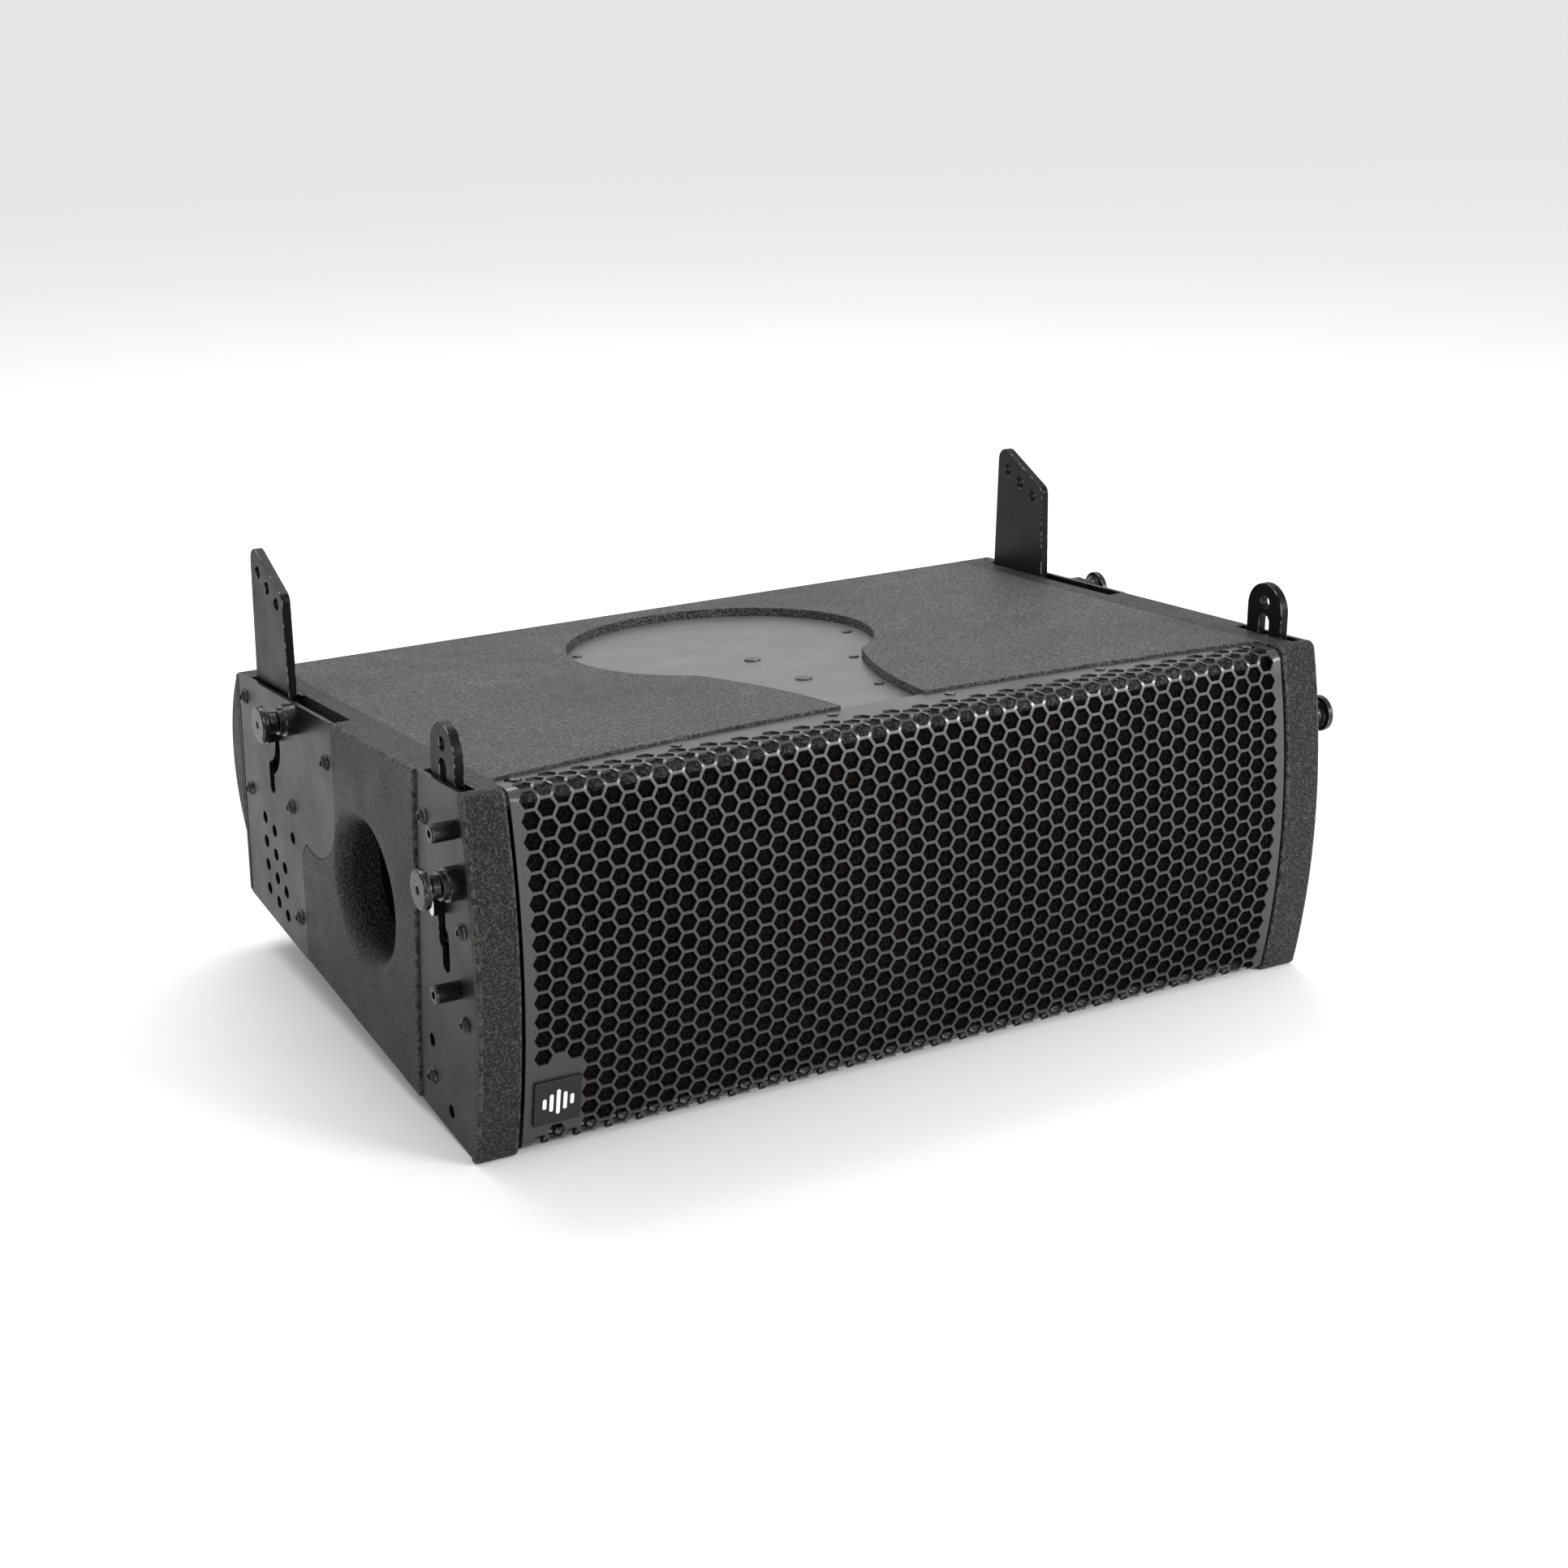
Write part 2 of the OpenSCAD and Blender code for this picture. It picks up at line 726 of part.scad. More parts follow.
module woofer_frame(side) {
    color(blacked) at_woofer(side) difference() {
        union() {
            translate([0, 0, -frame_t]) cylinder(h = frame_t - 0.02, r = woofer_r, $fn = 128);
            rotate_extrude($fn = 96) polygon([
                [76, -frame_t], [79.5, -frame_t], [79.5, 16], [52, 52], [30, 52], [30, 49], [50, 49],
                [76, 15]
            ]);
        }
        translate([0, 0, -frame_t - 1]) cylinder(h = 20, r = 76, $fn = 128);
        for (a = [0 : 60 : 300]) rotate(a + 30) translate([0, 0, 18]) rotate([0, 90, 0])
            translate([-26, -14, 38]) cube([22, 28, 60]);
        for (a = [22.5 : 45 : 360]) rotate(a) translate([woofer_r - 5.5, 0, -20])
            cylinder(h = 30, r = 2.1);
    }
}

module woofer_magnet(side) {
    color("#2b2b2d") at_woofer(side) difference() {
        union() {
            translate([0, 0, 52.02]) cylinder(h = 8, r = 48);
            translate([0, 0, 60]) cylinder(h = 22, r = 52);
            translate([0, 0, 82]) cylinder(h = 8, r = 48);
        }
        translate([0, 0, 51]) cylinder(h = 24, r = 20.5);
    }
}

module woofer_cone(side) {
    color("#202022") at_woofer(side) rotate_extrude($fn = 96) polygon([
        [0, 24], [8, 24.6], [16, 26.6], [23, 30], [23.6, 31], [cone_edge_r - 3, 2], [cone_edge_r, 1.6],
        [cone_edge_r, 3], [cone_neck_r + 1, 36], [cone_neck_r + 1, 62], [cone_neck_r, 62],
        [cone_neck_r, 34], [14, 27.6], [8, 25.8], [0, 25.2]
    ]);
}

module woofer_surround(side) {
    mid_r = (cone_edge_r + 76) / 2;
    roll_r = (76 - cone_edge_r) / 2 - 0.4;
    color("#151516") at_woofer(side) rotate_extrude($fn = 96) translate([mid_r, 2]) intersection() {
        difference() {
            circle(roll_r);
            circle(roll_r - 1);
        }
        translate([-20, -40]) square([40, 40]);
    }
}

module driver_screws() {
    color(blacked) placed() for (s = [-1, 1]) driver_screw_places(s) {
        translate([0, 0, -frame_t - 2.5]) cylinder(h = 2.5, r = 3.6);
        translate([0, 0, -frame_t - eps]) cylinder(h = frame_t + 11, r = 2);
    }
}

// Horn mouth at the baffle, narrowing to the slot of the compression driver
module horn_block(w1, h1, w2, h2, y1, y2) {
    hull() {
        translate([-w1 / 2, y1, -h1 / 2]) cube([w1, 0.5, h1]);
        translate([-w2 / 2, y2 - 0.5, -h2 / 2]) cube([w2, 0.5, h2]);
    }
}

horn_y = 110;

module waveguide() {
    flange_w = horn_w + 22;
    color(blacked) placed() difference() {
        union() {
            translate([-flange_w / 2, baffle_y - frame_t, -horn_h / 2 - 4])
                cube([flange_w, frame_t - 0.02, horn_h + 8]);
            horn_block(horn_w, horn_h, 40, 120, baffle_y - 1, horn_y);
        }
        horn_block(horn_w - 6, horn_h - 8, 22, 104, baffle_y - frame_t - 1, horn_y + 1);
        for (s = [-1, 1]) for (z = [-1, 0, 1])
            translate([s * (horn_w / 2 + 5), 0, z * 70]) rotate([-90, 0, 0]) cylinder(h = 60, r = 2.1);
    }
}

module compression_driver() {
    color("#2b2b2d") placed() translate([0, horn_y + 0.02, 0]) rotate([-90, 0, 0]) difference() {
        union() {
            translate([-32, -62, 0]) cube([64, 124, 12]);
            translate([0, 0, 12]) cylinder(h = 40, r = 50, $fn = 96);
            translate([0, 0, 52]) cylinder(h = 8, r = 38, $fn = 96);
        }
        translate([-11, -52, -1]) cube([22, 104, 9]);
    }
}

// ---- Electrics -----------------------------------------------------------------------------

module crossover_board() {
    color("#2f5d3a") placed() mirror([0, 0, 1]) on_top() translate([0, 300, -panel_t]) {
        translate([-board_w / 2, -45, -6]) cube([board_w, 90, 1.6]);
        for (x = [-1, 1]) for (y = [-1, 1])
            translate([x * 62, y * 38, -6]) cylinder(h = 5.9, r = 3);
        for (x = [-42, 0, 42])
            translate([x, -16, -26]) cylinder(h = 20, r = 15);
        for (x = [-48, -24, 0, 24, 48])
            translate([x - 7, 14, -20]) cube([14, 24, 14]);
    }
}

module connector_plate() {
    color(steel) placed() difference() {
        translate([-connector_w / 2, cab_d - 1.96, -connector_h / 2])
            cube([connector_w, 1.96, connector_h]);
        for (s = [-1, 1])
            translate([s * socket_x, cab_d - 10, 0]) rotate([-90, 0, 0]) cylinder(h = 20, r = 12.05);
    }
}

module speaker_sockets() {
    color(blacked) placed() for (s = [-1, 1]) translate([s * socket_x, cab_d + 0.02, 0]) {
        rotate([-90, 0, 0]) difference() {
            union() {
                translate([-15.5, -18, 0]) cube([31, 36, 2.5]);
                translate([0, 0, 2]) cylinder(h = 2.5, r = 14);
                translate([0, 0, -22]) cylinder(h = 23, r = 12);
            }
            translate([0, 0, -14]) cylinder(h = 30, r = 10.5);
        }
        rotate([-90, 0, 0]) translate([0, 0, -15]) cylinder(h = 7, r = 5);
    }
}

// ---- Drawing -------------------------------------------------------------------------------

side_panel("left");  // side_panel_left
side_panel("right");  // side_panel_right
top_panel();
bottom_panel();
rear_panel();
front_baffle();
rear_bumper("left");  // rear_bumper_left
rear_bumper("right");  // rear_bumper_right
recess_plate();
recess_screws();
front_grille();
grille_foam();
grille_screws();
grille_badge();
port_tube("left");  // port_tube_left
port_tube("right");  // port_tube_right
front_plate("left");  // front_plate_left
front_plate("right");  // front_plate_right
rear_plate("left");  // rear_plate_left
rear_plate("right");  // rear_plate_right
front_channel_plate("left");  // front_channel_plate_left
front_channel_plate("right");  // front_channel_plate_right
rear_channel_plate("left");  // rear_channel_plate_left
rear_channel_plate("right");  // rear_channel_plate_right
front_plate_screws("left");  // front_plate_screws_left
front_plate_screws("right");  // front_plate_screws_right
rear_plate_screws("left");  // rear_plate_screws_left
rear_plate_screws("right");  // rear_plate_screws_right
front_link("left");  // front_link_left
front_link("right");  // front_link_right
rear_link("left");  // rear_link_left
rear_link("right");  // rear_link_right
rear_pivot_pin("left");  // rear_pivot_pin_left
rear_pivot_pin("right");  // rear_pivot_pin_right
front_knob("left");  // front_knob_left
front_knob("right");  // front_knob_right
rear_knob("left");  // rear_knob_left
rear_knob("right");  // rear_knob_right
knob_housing("left", front_knob_at, front_plate_sink);  // front_knob_housing_left
knob_housing("right", front_knob_at, front_plate_sink);  // front_knob_housing_right
knob_housing("left", rear_knob_at, rear_plate_sink);  // rear_knob_housing_left
knob_housing("right", rear_knob_at, rear_plate_sink);  // rear_knob_housing_right
index_plunger("left", upper_index_at);  // upper_index_plunger_left
index_plunger("right", upper_index_at);  // upper_index_plunger_right
index_plunger("left", lower_index_at);  // lower_index_plunger_left
index_plunger("right", lower_index_at);  // lower_index_plunger_right
woofer_frame("left");  // woofer_frame_left
woofer_frame("right");  // woofer_frame_right
woofer_magnet("left");  // woofer_magnet_left
woofer_magnet("right");  // woofer_magnet_right
woofer_cone("left");  // woofer_cone_left
woofer_cone("right");  // woofer_cone_right
woofer_surround("left");  // woofer_surround_left
woofer_surround("right");  // woofer_surround_right
driver_screws();
waveguide();
compression_driver();
crossover_board();
connector_plate();
speaker_sockets();
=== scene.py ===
"""Looks of the line array speaker: bevelled skins, a perforated grille, procedural finishes and a studio."""
import json
import math

import bmesh
import bpy
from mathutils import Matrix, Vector
from mathutils.geometry import delaunay_2d_cdt


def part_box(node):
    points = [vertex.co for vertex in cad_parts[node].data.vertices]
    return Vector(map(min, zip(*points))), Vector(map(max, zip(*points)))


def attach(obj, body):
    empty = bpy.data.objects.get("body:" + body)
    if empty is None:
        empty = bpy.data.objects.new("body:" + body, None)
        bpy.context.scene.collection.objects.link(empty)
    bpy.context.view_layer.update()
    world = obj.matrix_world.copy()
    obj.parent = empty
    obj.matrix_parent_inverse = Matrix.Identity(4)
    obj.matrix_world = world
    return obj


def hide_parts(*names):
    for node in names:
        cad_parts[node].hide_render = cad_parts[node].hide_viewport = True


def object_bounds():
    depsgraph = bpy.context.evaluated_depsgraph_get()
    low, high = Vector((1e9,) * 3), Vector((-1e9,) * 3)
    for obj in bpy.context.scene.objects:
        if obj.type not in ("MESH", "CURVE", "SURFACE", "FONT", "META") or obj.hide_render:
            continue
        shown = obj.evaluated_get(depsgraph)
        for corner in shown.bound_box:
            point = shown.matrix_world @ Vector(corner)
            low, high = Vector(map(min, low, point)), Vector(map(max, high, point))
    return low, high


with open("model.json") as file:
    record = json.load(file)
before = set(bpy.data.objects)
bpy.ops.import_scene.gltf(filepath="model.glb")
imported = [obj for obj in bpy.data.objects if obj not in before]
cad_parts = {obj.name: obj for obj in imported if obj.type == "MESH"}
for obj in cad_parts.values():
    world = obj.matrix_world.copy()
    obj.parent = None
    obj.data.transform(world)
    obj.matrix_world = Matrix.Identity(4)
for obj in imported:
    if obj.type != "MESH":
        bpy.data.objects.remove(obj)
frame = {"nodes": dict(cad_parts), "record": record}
cad_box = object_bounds()
SIDES = ("left", "right")
MM = 0.001

# ---- The object's frame ---------------------------------------------------------------------
# Sizes are in millimetres in the side view's own frame: y back from the front face, z up from the
# mid-plane. The depth and the height of the origin come from the CAD box.
CAB_W = 600.0
TOTAL_D = (cad_box[1].y - cad_box[0].y) / MM
FRONT_H = 232.0
SLOPE = math.tan(math.radians(5.3))
BOW_R = 480.0
CORNER_R = 6.0
MID_Z = (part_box("side_panel_left")[0].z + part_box("side_panel_left")[1].z) / 2 / MM


def row(x, y, z):
    """A point in the row frame, in metres, from x, y, z in the side view's frame."""
    return Vector((x * MM, (y - TOTAL_D / 2) * MM, (z + MID_Z) * MM))


def view_yz(point):
    """y and z in the side view's frame of a point in the row frame."""
    return point.y / MM + TOTAL_D / 2, point.z / MM - MID_Z


def corner_centre(half, bow, radius, front):
    """Centre of the circle in the upper front corner that touches the bow and the sloping top."""
    a = radius * math.sqrt(1 + SLOPE * SLOPE) - half
    b = 2 * (a * SLOPE - (bow + front))
    c = (bow + front) ** 2 + a * a - (bow - radius) ** 2
    y = (-b - math.sqrt(b * b - 4 * (1 + SLOPE * SLOPE) * c)) / (2 * (1 + SLOPE * SLOPE))
    return y, -(a + SLOPE * y)


# ---- Materials ------------------------------------------------------------------------------
class Finish:
    """A Principled material whose inputs are fed by noise in the object's own coordinates."""

    def __init__(self, name, rough, metal=0.0, specular=0.5, coat=0.0):
        self.material = bpy.data.materials.new(name)
        self.material.use_nodes = True
        self.nodes = self.material.node_tree.nodes
        self.links = self.material.node_tree.links
        self.shader = self.nodes["Principled BSDF"]
        self.shader.inputs["Metallic"].default_value = metal
        self.shader.inputs["Roughness"].default_value = rough
        self.shader.inputs["Specular IOR Level"].default_value = specular
        self.shader.inputs["Coat Weight"].default_value = coat
        self.place = self.nodes.new("ShaderNodeTexCoord").outputs["Object"]

    def stretched(self, scale):
        node = self.nodes.new("ShaderNodeMapping")
        node.inputs["Scale"].default_value = scale
        self.links.new(self.place, node.inputs["Vector"])
        return node.outputs["Vector"]

    def noise(self, scale, detail=3.0, stretch=None):
        node = self.nodes.new("ShaderNodeTexNoise")
        node.inputs["Scale"].default_value = scale
        node.inputs["Detail"].default_value = detail
        self.links.new(self.stretched(stretch) if stretch else self.place, node.inputs["Vector"])
        return node.outputs["Fac"]

    def cells(self, scale):
        node = self.nodes.new("ShaderNodeTexVoronoi")
        node.inputs["Scale"].default_value = scale
        self.links.new(self.place, node.inputs["Vector"])
        return node.outputs["Distance"]

    def attribute(self, name):
        node = self.nodes.new("ShaderNodeAttribute")
        node.attribute_name = name
        return node.outputs["Fac"]

    def spread(self, value, low, high, first=0.0, last=1.0):
        node = self.nodes.new("ShaderNodeMapRange")
        self.links.new(value, node.inputs["Value"])
        for key, number in (("From Min", low), ("From Max", high), ("To Min", first), ("To Max", last)):
            node.inputs[key].default_value = number
        return node.outputs["Result"]

    def product(self, a, b):
        node = self.nodes.new("ShaderNodeMath")
        node.operation = "MULTIPLY"
        self.links.new(a, node.inputs[0])
        self.links.new(b, node.inputs[1])
        return node.outputs["Value"]

    def mix(self, factor, a, b):
        node = self.nodes.new("ShaderNodeMix")
        node.data_type = "RGBA"
        self.links.new(factor, node.inputs["Factor"])
        for socket, value in ((node.inputs[6], a), (node.inputs[7], b)):
            if isinstance(value, tuple):
                socket.default_value = value + (1.0,)
            else:
                self.links.new(value, socket)
        return node.outputs[2]

    def bump(self, height, depth, strength=1.0, under=None):
        node = self.nodes.new("ShaderNodeBump")
        node.inputs["Strength"].default_value = strength
        node.inputs["Distance"].default_value = depth
        self.links.new(height, node.inputs["Height"])
        if under:
            self.links.new(under, node.inputs["Normal"])
        return node.outputs["Normal"]

    def to(self, socket, value):
        self.links.new(value, self.shader.inputs[socket])


def finish(name, dark, light, rough, grain, depth, grit=0.0, grit_depth=0.0, patch=7.0, worn_and_lit_edge=None,
           wear_and_highlight_at=0.5, metal=0.0, specular=0.5, coat=0.0, stretch=None, contrast=(0.35, 0.65)):
    """Colour and roughness vary with the grain and in broad patches, the grain and the grit are
    raised, and patches of the bevelled edges take another colour: part real wear, part painted highlight."""
    look = Finish(name, rough, metal, specular, coat)
    fine = look.noise(grain, 3.0, stretch)
    broad = look.noise(patch, 4.0)
    colour = look.mix(look.spread(fine, *contrast), dark, light)
    shade = tuple(0.75 * c for c in dark)
    colour = look.mix(look.spread(broad, 0.35, 0.75, 0.0, 0.5), colour, shade)
    roughness = look.spread(look.noise(patch * 5, 5.0), 0.3, 0.7, rough - 0.06, rough + 0.06)
    # Bevel faces in noise patches take the lighter edge colour: part real edge wear, part painted edge highlight.
    if worn_and_lit_edge:
        wear_and_highlight_patches = look.spread(look.noise(260.0, 4.0), wear_and_highlight_at - 0.06, wear_and_highlight_at + 0.06)
        edge = look.product(look.attribute("wear_and_highlight"), wear_and_highlight_patches)
        colour = look.mix(edge, colour, worn_and_lit_edge)
    look.to("Base Color", colour)
    look.to("Roughness", roughness)
    normal = look.bump(fine, depth)
    if grit:
        normal = look.bump(look.cells(grit), grit_depth, under=normal)
    look.to("Normal", normal)
    return look.material


# Each worn colour is a lighter edge colour: part real wear, part painted highlight on the rounded edges.
MATERIALS = {
    "coated_plywood": finish(
        "textured_coating", (0.002, 0.0018, 0.0016), (0.060, 0.056, 0.053), 0.50,
        620.0, 0.0030, 800.0, 0.0010, worn_and_lit_edge=(0.07, 0.066, 0.062), wear_and_highlight_at=0.5, specular=0.32, contrast=(0.44, 0.66)),
    # The top panel's lighter copy of the textured coating: painted light from above on the same coating as the
    # sides.
    "coated_top_painted_light": finish(
        "textured_coating_top_painted_light", (0.020, 0.019, 0.019), (0.125, 0.121, 0.121), 0.55,
        620.0, 0.0024, 800.0, 0.0008, worn_and_lit_edge=(0.09, 0.088, 0.088), wear_and_highlight_at=0.5, specular=0.32, contrast=(0.42, 0.64)),
    "baffle_plywood": finish(
        "painted_baffle", (0.002, 0.002, 0.002), (0.005, 0.005, 0.004), 0.8, 90.0, 0.0003, patch=5.0,
        stretch=(0.4, 2.0, 7.0), specular=0.1),
    "powder_coated_steel": finish(
        "powder_coat", (0.004, 0.0043, 0.0052), (0.0065, 0.007, 0.0085), 0.36, 1100.0, 0.00006,
        worn_and_lit_edge=(0.12, 0.12, 0.125), wear_and_highlight_at=0.54, specular=0.2),
    "link_steel": finish(
        "link_coat", (0.002, 0.002, 0.0025), (0.004, 0.004, 0.0048), 0.40, 1000.0, 0.00006,
        worn_and_lit_edge=(0.16, 0.16, 0.165), wear_and_highlight_at=0.54, specular=0.12),
    "satin_steel": finish(
        "satin_coat", (0.075, 0.072, 0.072), (0.095, 0.092, 0.092), 0.34, 1300.0, 0.00004,
        worn_and_lit_edge=(0.16, 0.16, 0.16)),
    "grille_steel": finish(
        "grille_coat", (0.030, 0.028, 0.027), (0.045, 0.043, 0.042), 0.30, 1300.0, 0.00004,
        worn_and_lit_edge=(0.22, 0.22, 0.22), metal=0.25, specular=0.7),
    "black_screws": finish(
        "blackened_screw", (0.005, 0.005, 0.005), (0.012, 0.012, 0.013), 0.26, 1500.0, 0.00003, patch=60.0,
        metal=0.4, worn_and_lit_edge=(0.25, 0.25, 0.26), wear_and_highlight_at=0.5),
    "bare_steel": finish(
        "bare_steel", (0.55, 0.55, 0.56), (0.72, 0.72, 0.73), 0.26, 1400.0, 0.00003, patch=50.0, metal=1.0,
        stretch=(6.0, 1.0, 1.0)),
    "knob_steel": finish(
        "turned_black", (0.004, 0.004, 0.005), (0.009, 0.009, 0.010), 0.30, 1500.0, 0.00003, patch=60.0,
        metal=0.3, worn_and_lit_edge=(0.14, 0.14, 0.145), wear_and_highlight_at=0.54),
    "acoustic_foam": finish(
        "open_foam", (0.0006, 0.0005, 0.0004), (0.010, 0.008, 0.007), 0.95, 600.0, 0.0016, 420.0, 0.0014,
        specular=0.03),
    "badge_plastic": finish(
        "badge_black", (0.002, 0.002, 0.002), (0.004, 0.004, 0.004), 0.30, 1200.0, 0.00003, patch=40.0,
        worn_and_lit_edge=(0.02, 0.02, 0.02)),
    "port_plastic": finish(
        "port_black", (0.001, 0.001, 0.001), (0.003, 0.003, 0.003), 0.55, 800.0, 0.0002, specular=0.1),
    "driver_frame": finish(
        "cast_black", (0.008, 0.008, 0.009), (0.014, 0.014, 0.015), 0.48, 900.0, 0.0002,
        worn_and_lit_edge=(0.20, 0.20, 0.20), wear_and_highlight_at=0.58),
    "driver_magnet": finish(
        "magnet_zinc", (0.035, 0.035, 0.037), (0.075, 0.075, 0.080), 0.38, 700.0, 0.0001, metal=0.6,
        worn_and_lit_edge=(0.3, 0.3, 0.3), wear_and_highlight_at=0.58),
    "cone_paper": finish(
        "pressed_paper", (0.008, 0.008, 0.009), (0.022, 0.021, 0.020), 0.75, 480.0, 0.0004, patch=25.0,
        stretch=(1.0, 1.0, 3.0)),
    "surround_rubber": finish(
        "rubber", (0.007, 0.007, 0.007), (0.012, 0.012, 0.012), 0.62, 1100.0, 0.0001),
    "waveguide_plastic": finish(
        "moulded_black", (0.007, 0.007, 0.007), (0.012, 0.012, 0.012), 0.45, 1000.0, 0.0001),
    "circuit_board": finish(
        "circuit_parts", (0.012, 0.060, 0.022), (0.030, 0.120, 0.045), 0.40, 300.0, 0.0001, patch=60.0,
        worn_and_lit_edge=(0.5, 0.5, 0.5), wear_and_highlight_at=0.56),
    "socket_plastic": finish(
        "socket_black", (0.006, 0.006, 0.007), (0.012, 0.012, 0.013), 0.38, 1200.0, 0.00005,
        worn_and_lit_edge=(0.04, 0.04, 0.04)),
    "badge_white": finish(
        "badge_white", (0.72, 0.72, 0.71), (0.86, 0.86, 0.85), 0.4, 1200.0, 0.00003),
}
SLOT_OF = {part["node"]: part["material_slot"] for part in frame["record"]["subparts"]}
BODY_OF = {node: body for body, nodes in frame["record"]["behaviour"]["bodies"].items() for node in nodes}


# ---- Skins: bevelled copies of the CAD nodes ------------------------------------------------
SHARP = math.radians(28)
WELD = 0.06 * MM


def flat_edges(bm):
    return [e for e in bm.edges if len(e.link_faces) == 2 and e.calc_face_angle(0.0) > SHARP]


def bevel(bm, edges, width, segments, worn_and_lit_edge):
    """Rounds edges and marks the new faces for the edge colour of real wear and painted highlight."""
    if not edges:
        return
    made = bmesh.ops.bevel(
        bm, geom=edges, offset=width, offset_type="OFFSET", segments=segments, profile=0.5,
        affect="EDGES", clamp_overlap=False, loop_slide=True)
    for face in made["faces"]:
        face[worn_and_lit_edge] = 1.0


def show(name, bm, material, body, replaced=()):
    """Makes an object of a mesh, shades it, gives it its materials and body, and hides the CAD nodes it stands in
    for.
    """
    for edge in bm.edges:
        edge.smooth = len(edge.link_faces) == 2 and edge.calc_face_angle(0.0) < math.radians(36)
    for face in bm.faces:
        face.smooth = True
    mesh = bpy.data.meshes.new(name)
    bm.to_mesh(mesh)
    bm.free()
    for m in material if isinstance(material, list) else [material]:
        mesh.materials.append(m)
    piece = bpy.data.objects.new(name, mesh)
    bpy.context.scene.collection.objects.link(piece)
    shading = piece.modifiers.new("shading", "WEIGHTED_NORMAL")
    shading.keep_sharp = True
    shading.weight = 100
    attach(piece, body)
    if replaced:
        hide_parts(*replaced)
    return piece


def skin(node, width, segments=2, wide=(), bare=None, look=None):
    """A bevelled copy of a CAD node. wide lists edge tests with their own wider roundings, bare
    picks faces of bright metal, and look names a finish other than the slot's."""
    bm = bmesh.new()
    bm.from_mesh(frame["nodes"][node].data)
    for layer in list(bm.loops.layers.uv):
        bm.loops.layers.uv.remove(layer)
    bmesh.ops.remove_doubles(bm, verts=bm.verts, dist=WELD)
    bmesh.ops.dissolve_degenerate(bm, edges=bm.edges, dist=WELD)
    bmesh.ops.dissolve_limit(
        bm, angle_limit=math.radians(0.5), verts=bm.verts, edges=bm.edges, use_dissolve_boundaries=False)
    # Marks the bevel faces for the lighter edge colour: part real wear, part painted edge highlight.
    worn_and_lit_edge = bm.faces.layers.float.new("wear_and_highlight")
    for test, wide_width in wide:
        bevel(bm, [e for e in flat_edges(bm) if test(e)], wide_width * MM, 3, worn_and_lit_edge)
    bevel(bm, [e for e in flat_edges(bm) if not any(f[worn_and_lit_edge] for f in e.link_faces)],
          width * MM, segments, worn_and_lit_edge)
    materials = [MATERIALS[look or SLOT_OF[node]]]
    if bare:
        materials.append(MATERIALS["bare_steel"])
        for face in bm.faces:
            face.material_index = 1 if bare(face.calc_center_median()) else 0
    return show(node + "_skin", bm, materials, BODY_OF[node], (node,))


def on_outline(point):
    """Whether a point lies on the cabinet's outline in the side view."""
    y, z = view_yz(point)
    near = 0.4
    if y > TOTAL_D - 20 - near or FRONT_H / 2 - y * SLOPE - abs(z) < near:
        return True
    if abs(math.hypot(y - BOW_R, z) - BOW_R) < near:
        return True
    cy, cz = corner_centre(FRONT_H / 2, BOW_R, CORNER_R, 0.0)
    return y < cy + 2 and abs(z) > cz - 3 and abs(math.hypot(y - cy, abs(z) - cz) - CORNER_R) < near


def panel_rim(edge):
    """Edges of a side panel's outline, at its outer face and, at the front, at its inner one."""
    points = [v.co for v in edge.verts]
    outer = all(abs(p.x) > (CAB_W / 2 - 0.1) * MM for p in points)
    inner = all(abs(abs(p.x) - 273 * MM) < 0.1 * MM and view_yz(p)[0] < 30 for p in points)
    return (outer or inner) and all(on_outline(p) for p in points)


for side in SIDES:
    skin("side_panel_" + side, 0.35, 2, [(panel_rim, 2.2)])
    skin("rear_bumper_" + side, 1.5, 3)
    skin("port_tube_" + side, 0.5)
    for name in ("front_plate_", "rear_plate_", "front_channel_plate_", "rear_channel_plate_"):
        skin(name + side, 0.3)
    for name in ("front_plate_screws_", "rear_plate_screws_"):
        skin(name + side, 0.22)
    for name in ("front_link_", "rear_link_"):
        skin(name + side, 0.55, 2, bare=lambda p: abs(p.x) > 303.4 * MM)
    skin("rear_pivot_pin_" + side, 0.4)
    for name in ("front_knob_", "rear_knob_"):
        skin(name + side, 0.45, 3)
    for name in ("front_knob_housing_", "rear_knob_housing_", "upper_index_plunger_",
                 "lower_index_plunger_"):
        skin(name + side, 0.4)
    for name in ("woofer_frame_", "woofer_magnet_"):
        skin(name + side, 0.6)
    for name in ("woofer_cone_", "woofer_surround_"):
        skin(name + side, 0.12)
# The top panel takes the lighter copy of the coating, painted light from above.
skin("top_panel", 0.5, look="coated_top_painted_light")
skin("bottom_panel", 0.5)
skin("rear_panel", 0.5)
skin("front_baffle", 0.4)
skin("recess_plate", 0.2)
for name in ("recess_screws", "grille_screws", "driver_screws"):
    skin(name, 0.15)
for name in ("waveguide", "compression_driver", "crossover_board"):
    skin(name, 0.5)
skin("connector_plate", 0.3)
skin("speaker_sockets", 0.4)
skin("grille_foam", 0.3)
skin("grille_badge", 0.4)

# ---- Grille: a bent sheet with hexagonal holes ----------------------------------------------
SHEET_W = 542.0
SHEET_T = 1.5
SHEET_Y = 1.0
SHEET_HALF = FRONT_H / 2 - 2.0
SHEET_BEND = CORNER_R + 2.0
PITCH = 12.0
WEB = 1.8
COLUMN = PITCH * math.sqrt(3) / 2
ROW_SHIFT = 4.6
TOP_ROWS, BOTTOM_ROWS = 131.5, -128.0
BLANK_X = (-268.0, -233.0)
BLANK_S = (-99.0, -54.0)

